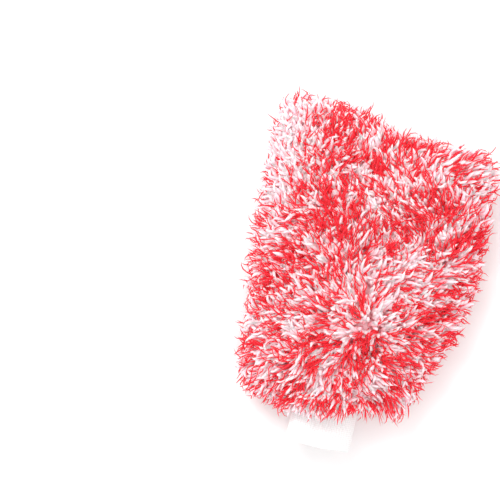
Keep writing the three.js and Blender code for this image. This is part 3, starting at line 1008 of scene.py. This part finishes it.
def join_cuff(thread):
    """The overlock round the cuff's raw edges, inside the bag."""
    angles, _ = even_angles(240)
    path = np.insert(egg(angles, -0.0018), 1, CUFF_TOP_Y, axis=1)
    outward = np.tile([0.0, 1.0, 0.0], (len(path), 1))
    piece = overlock("cuff_join", path, outward, *JOIN_STITCH, True, thread)
    hand_over(piece, "thread", "cuff_join_overlock")


def close_cuff(thread):
    """The zigzag seam that closes the rib tube, between its layers."""
    marks = np.arange(0, 1, 1 / (SIDE_STITCHES * 8))
    y = CUFF_TOP_Y - 0.002 - marks * (CUFF_TOP_Y - MOUTH_Y - 0.008)
    zigzag = 0.0011 * np.sin(marks * TAU * SIDE_STITCHES)
    line = np.stack([np.full_like(y, CUFF_HALF - RIB_THICK * 1.5), y, SEAM_Z + zigzag], axis=1)
    outward = np.tile([1.0, 0, 0], (len(y), 1))
    piece = thread_tube("cuff_side_stitch", line, outward, False, thread)
    hand_over(piece, "thread", "cuff_side_seam")


# ---- operators


class MITT_OT_ground(bpy.types.Operator):
    """Makes the knitted ground fabric of both panels"""

    bl_idname = "mitt.ground"
    bl_label = "Ground fabric"

    def execute(self, context):
        sizes, colours = context.scene.mitt_sizes, context.scene.mitt_colours
        material = woven_cloth("ground_knit", colours.ground, 0.0014, 0.85)
        for side, name in SIDE_NAMES.items():
            piece = cloth_panel(
                f"{name}_ground", sizes, side, 0.0, GROUND_RISE[side], GROUND_THICK, NECK_GROW, material
            )
            hand_over(piece, "ground_knit", f"{name}_ground_fabric")
        return {"FINISHED"}


class MITT_OT_lining(bpy.types.Operator):
    """Makes the loose lining bag, whose neck shows through the cuff"""

    bl_idname = "mitt.lining"
    bl_label = "Lining"

    def execute(self, context):
        sizes, colours = context.scene.mitt_sizes, context.scene.mitt_colours
        material = woven_cloth("lining_cloth", colours.lining, 0.0006)
        for side, name in SIDE_NAMES.items():
            piece = cloth_panel(
                f"{name}_lining_cloth", sizes, side, LINING_OFFSET, LINING_RISE[side], LINING_THICK,
                LINING_GROW, material,
            )
            hand_over(piece, "lining_cloth", f"{name}_lining")
        return {"FINISHED"}


class MITT_OT_cuff(bpy.types.Operator):
    """Makes the doubled rib-knit cuff"""

    bl_idname = "mitt.cuff"
    bl_label = "Cuff"

    def execute(self, context):
        scene = context.scene
        piece = rib_tube(scene.mitt_sizes, rib_knit(scene.mitt_colours))
        hand_over(piece, "rib_knit", "rib_cuff")
        return {"FINISHED"}


class MITT_OT_seams(bpy.types.Operator):
    """Sews the overlock stitches of the shell, the lining and the cuff"""

    bl_idname = "mitt.seams"
    bl_label = "Seams"

    def execute(self, context):
        sizes = context.scene.mitt_sizes
        thread = thread_material(context.scene.mitt_colours)
        sew_bags(sizes, thread)
        join_cuff(thread)
        close_cuff(thread)
        return {"FINISHED"}


class MITT_OT_pile(bpy.types.Operator):
    """Grows the red and white yarn ends of both panels"""

    bl_idname = "mitt.pile"
    bl_label = "Pile"

    def execute(self, context):
        scene = context.scene
        sizes, pile, materials = scene.mitt_sizes, scene.mitt_pile, yarn_materials(scene.mitt_colours)
        for side, name in SIDE_NAMES.items():
            rng = np.random.default_rng(pile.seed + side)
            pieces = grow_panel(side, sizes, pile, materials, rng)
        return {"FINISHED"}


class MITT_OT_stage(bpy.types.Operator):
    """Adds the floor, the studio lights and the camera"""

    bl_idname = "mitt.stage"
    bl_label = "Stage"

    def execute(self, context):
        add_floor(context.scene.mitt_colours)
        add_lights(context.scene)
        add_camera(context.scene)
        return {"FINISHED"}


VIEW_WIDTH = 0.450  # at the seam's height
CAMERA_HEIGHT = 1.5
CAMERA_TURN = math.radians(14)  # the mitt leans this much to the right
CAMERA_AIM = (-0.1004, 0.0064)
SENSOR = 36.0  # mm, as Blender wants it
FLOOR_HALF = 6.0
SKY_STRENGTH = 1.2
KEY_PLACE, KEY_TARGET = Vector((-0.75, 0.75, 1.25)), Vector((0, 0, 0.03))
KEY_SIZE, KEY_POWER = 0.8, 12


def add_floor(colours):
    """A plain pale floor."""
    corners = FLOOR_HALF * np.array([(-1, -1, 0), (1, -1, 0), (1, 1, 0), (-1, 1, 0)])
    shader = Shader("floor", roughness=0.9)
    speckle = shader.noise(3.0, 2.0)
    shader.colour(shader.mix(speckle, rgba(colours.floor, 0.985), rgba(colours.floor)))
    floor = mesh_object("floor", corners, [np.array([[0, 1, 2, 3]])], shader.material)


def add_lights(scene):
    """Bright even light from all round, with a soft key light from the upper left."""
    world = bpy.data.worlds.new("studio")
    world.use_nodes = True
    background = world.node_tree.nodes["Background"]
    background.inputs["Color"].default_value = (1, 1, 1, 1)
    background.inputs["Strength"].default_value = SKY_STRENGTH
    scene.world = world
    data = bpy.data.lights.new("key", "AREA")
    data.shape, data.size, data.energy = "DISK", KEY_SIZE, KEY_POWER
    key = bpy.data.objects.new("key", data)
    key.location = KEY_PLACE
    way = KEY_TARGET - KEY_PLACE
    key.rotation_euler = (math.acos(-way.z / way.length), 0, math.atan2(way.y, way.x) - math.pi / 2)
    scene.collection.objects.link(key)
    scene.view_settings.view_transform = "Standard"
    scene.cycles.max_bounces = 14
    scene.cycles.diffuse_bounces = 12  # light reaches deep into the pale pile


def add_camera(scene):
    """A camera that looks straight down."""
    data = bpy.data.cameras.new("camera")
    data.sensor_width = SENSOR
    data.lens = SENSOR * (CAMERA_HEIGHT - SEAM_Z) / VIEW_WIDTH
    camera = bpy.data.objects.new("camera", data)
    camera.location = (*CAMERA_AIM, CAMERA_HEIGHT)
    camera.rotation_euler = (0, 0, CAMERA_TURN)
    scene.collection.objects.link(camera)
    scene.camera = camera


class MITT_PT_panel(bpy.types.Panel):
    """Sizes, pile and colours of the mitt, and its operators"""

    bl_label = "Wash mitt"
    bl_idname = "MITT_PT_panel"
    bl_space_type = "VIEW_3D"
    bl_region_type = "UI"
    bl_category = "Wash mitt"

    def draw(self, context):
        for group in (context.scene.mitt_sizes, context.scene.mitt_pile, context.scene.mitt_colours):
            for name in group.__annotations__:
                self.layout.prop(group, name)
        for operator in OPERATORS:
            self.layout.operator(operator.bl_idname)


GROUPS = {"mitt_sizes": MittSizes, "mitt_pile": MittPile, "mitt_colours": MittColours}
OPERATORS = (
    MITT_OT_ground,
    MITT_OT_lining,
    MITT_OT_cuff,
    MITT_OT_seams,
    MITT_OT_stage,
    MITT_OT_pile,
)
CLASSES = (*GROUPS.values(), *OPERATORS, MITT_PT_panel)


def register():
    for cls in CLASSES:
        bpy.utils.register_class(cls)
    for name, group in GROUPS.items():
        setattr(bpy.types.Scene, name, PointerProperty(type=group))


def unregister():
    for name in GROUPS:
        delattr(bpy.types.Scene, name)
    for cls in reversed(CLASSES):
        bpy.utils.unregister_class(cls)


def main():
    register()
    bpy.ops.mitt.ground()
    bpy.ops.mitt.lining()
    bpy.ops.mitt.cuff()
    bpy.ops.mitt.seams()
    bpy.ops.mitt.stage()
    bpy.ops.mitt.pile()


if __name__ == "__main__":
    main()
